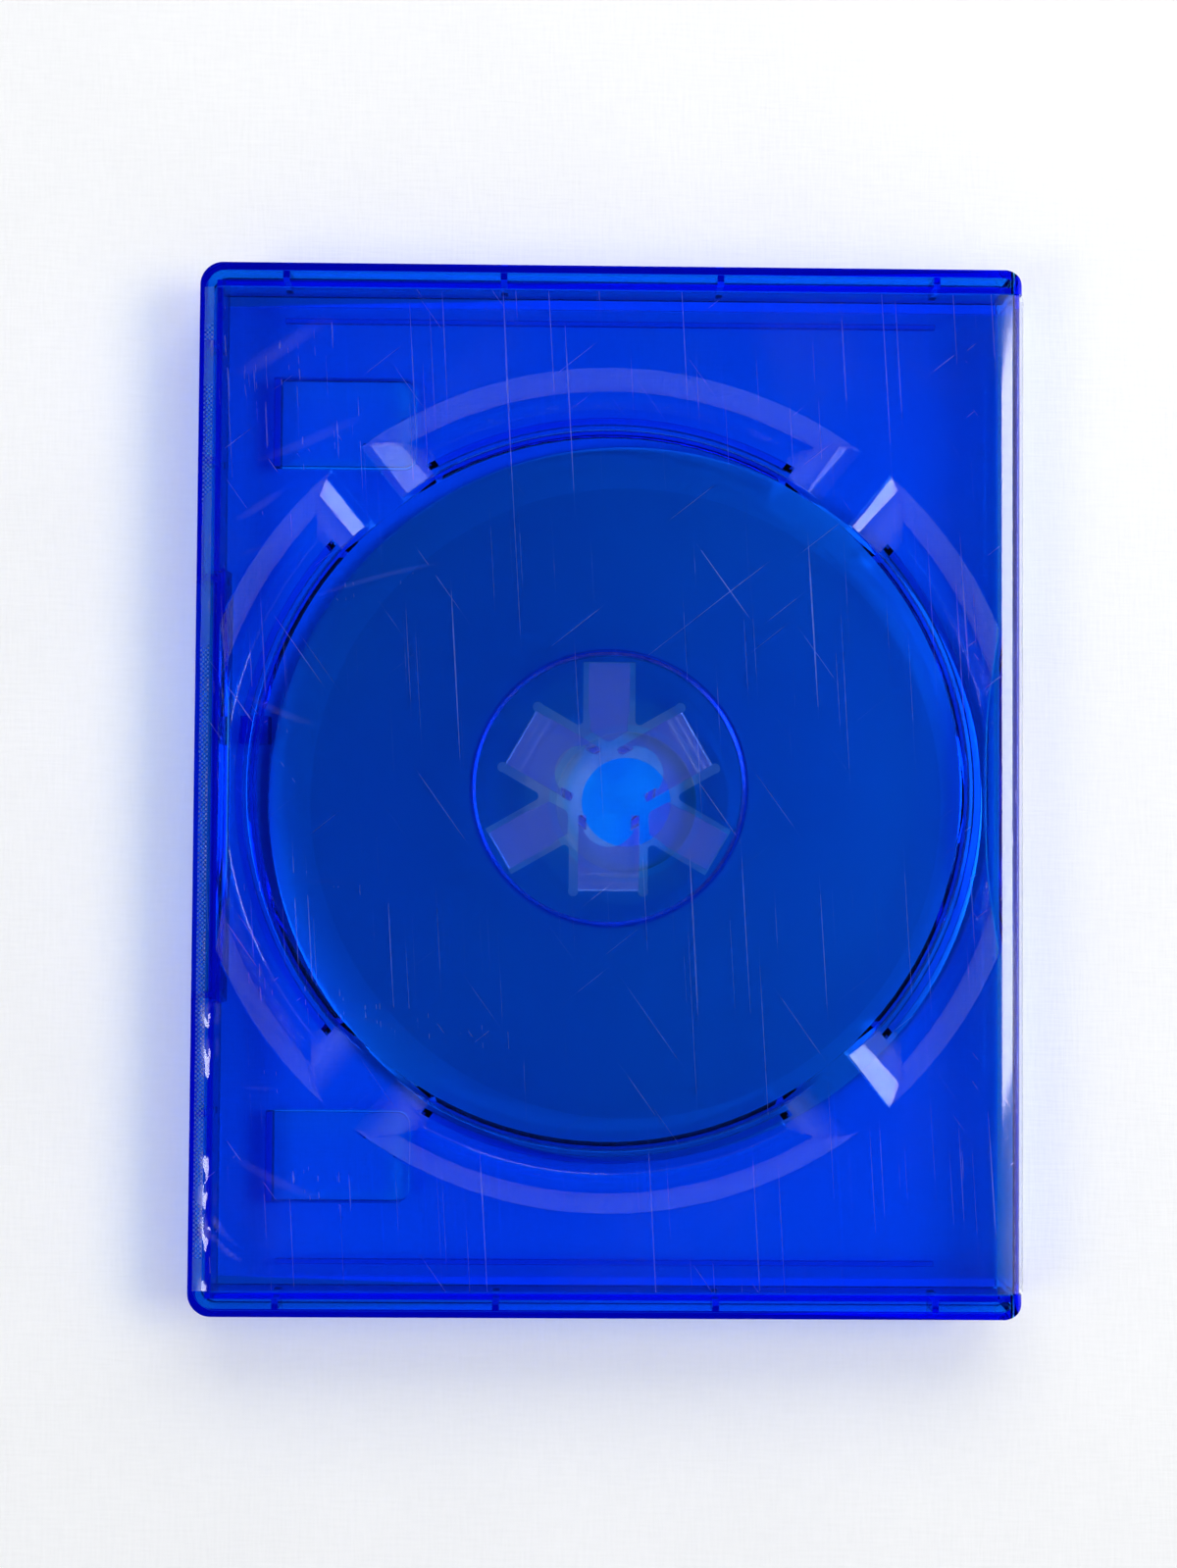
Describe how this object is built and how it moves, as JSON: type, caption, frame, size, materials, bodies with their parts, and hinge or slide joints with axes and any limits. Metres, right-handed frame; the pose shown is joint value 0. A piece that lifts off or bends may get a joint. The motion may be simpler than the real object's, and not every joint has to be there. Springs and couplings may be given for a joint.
{
  "type": "game disc case",
  "caption": "Hinged flat plastic case for one 12 cm disc, with a hub of sprung claws, a clear outer film and a loose disc inside.",
  "frame": {"origin": "centre of the closed case's footprint, on the surface it lies on", "axes": "+Y up the case along its spine, +X towards the spine, +Z from the front cover to the rear cover"},
  "size_m": [0.135, 0.1714, 0.014],
  "materials": {
    "blue_plastic": "clear deep blue, glossy",
    "clear_film": "clear film, lightly scratched",
    "disc_plastic": "mirror-like data side under clear plastic"
  },
  "bodies": {
    "front_cover": {"front_cover": "blue_plastic", "front_film": "clear_film", "game_disc": "disc_plastic"},
    "spine": {"spine": "blue_plastic", "spine_film": "clear_film"},
    "rear_cover": {"rear_cover": "blue_plastic", "rear_film": "clear_film"},
    "grip_claw_1": {"grip_claw_1": "blue_plastic"},
    "grip_claw_2": {"grip_claw_2": "blue_plastic"},
    "grip_claw_3": {"grip_claw_3": "blue_plastic"},
    "lift_tongue_1": {"lift_tongue_1": "blue_plastic"},
    "lift_tongue_2": {"lift_tongue_2": "blue_plastic"},
    "lift_tongue_3": {"lift_tongue_3": "blue_plastic"}
  },
  "joints": [
    {"name": "front_hinge", "type": "hinge", "parent": "front_cover", "child": "spine", "pos_m": [0.0666, 0, 0.0009], "axis": [0, 1, 0], "range_deg": [0, 90]},
    {"name": "rear_hinge", "type": "hinge", "parent": "spine", "child": "rear_cover", "pos_m": [0.0666, 0, 0.0131], "axis": [0, 1, 0], "range_deg": [0, 90]},
    {"name": "grip_claw_1_flex", "type": "hinge", "parent": "rear_cover", "child": "grip_claw_1", "pos_m": [0.0142, 0.0082, 0.00975], "axis": [-0.5, 0.866, 0], "range_deg": [0, 6], "stiffness_Nm_per_rad": 0.05},
    {"name": "grip_claw_2_flex", "type": "hinge", "parent": "rear_cover", "child": "grip_claw_2", "pos_m": [-0.0142, 0.0082, 0.00975], "axis": [-0.5, -0.866, 0], "range_deg": [0, 6], "stiffness_Nm_per_rad": 0.05},
    {"name": "grip_claw_3_flex", "type": "hinge", "parent": "rear_cover", "child": "grip_claw_3", "pos_m": [0, -0.0164, 0.00975], "axis": [1, 0, 0], "range_deg": [0, 6], "stiffness_Nm_per_rad": 0.05},
    {"name": "lift_tongue_1_flex", "type": "hinge", "parent": "rear_cover", "child": "lift_tongue_1", "pos_m": [0, 0.0204, 0.00975], "axis": [-1, 0, 0], "range_deg": [0, 6], "stiffness_Nm_per_rad": 0.05},
    {"name": "lift_tongue_2_flex", "type": "hinge", "parent": "rear_cover", "child": "lift_tongue_2", "pos_m": [-0.01767, -0.0102, 0.00975], "axis": [0.5, -0.866, 0], "range_deg": [0, 6], "stiffness_Nm_per_rad": 0.05},
    {"name": "lift_tongue_3_flex", "type": "hinge", "parent": "rear_cover", "child": "lift_tongue_3", "pos_m": [0.01767, -0.0102, 0.00975], "axis": [0.5, 0.866, 0], "range_deg": [0, 6], "stiffness_Nm_per_rad": 0.05}
  ],
  "couplings": [
    {"joint": "grip_claw_2_flex", "follows": "grip_claw_1_flex", "ratio": 1},
    {"joint": "grip_claw_3_flex", "follows": "grip_claw_1_flex", "ratio": 1},
    {"joint": "lift_tongue_2_flex", "follows": "lift_tongue_1_flex", "ratio": 1},
    {"joint": "lift_tongue_3_flex", "follows": "lift_tongue_1_flex", "ratio": 1}
  ]
}
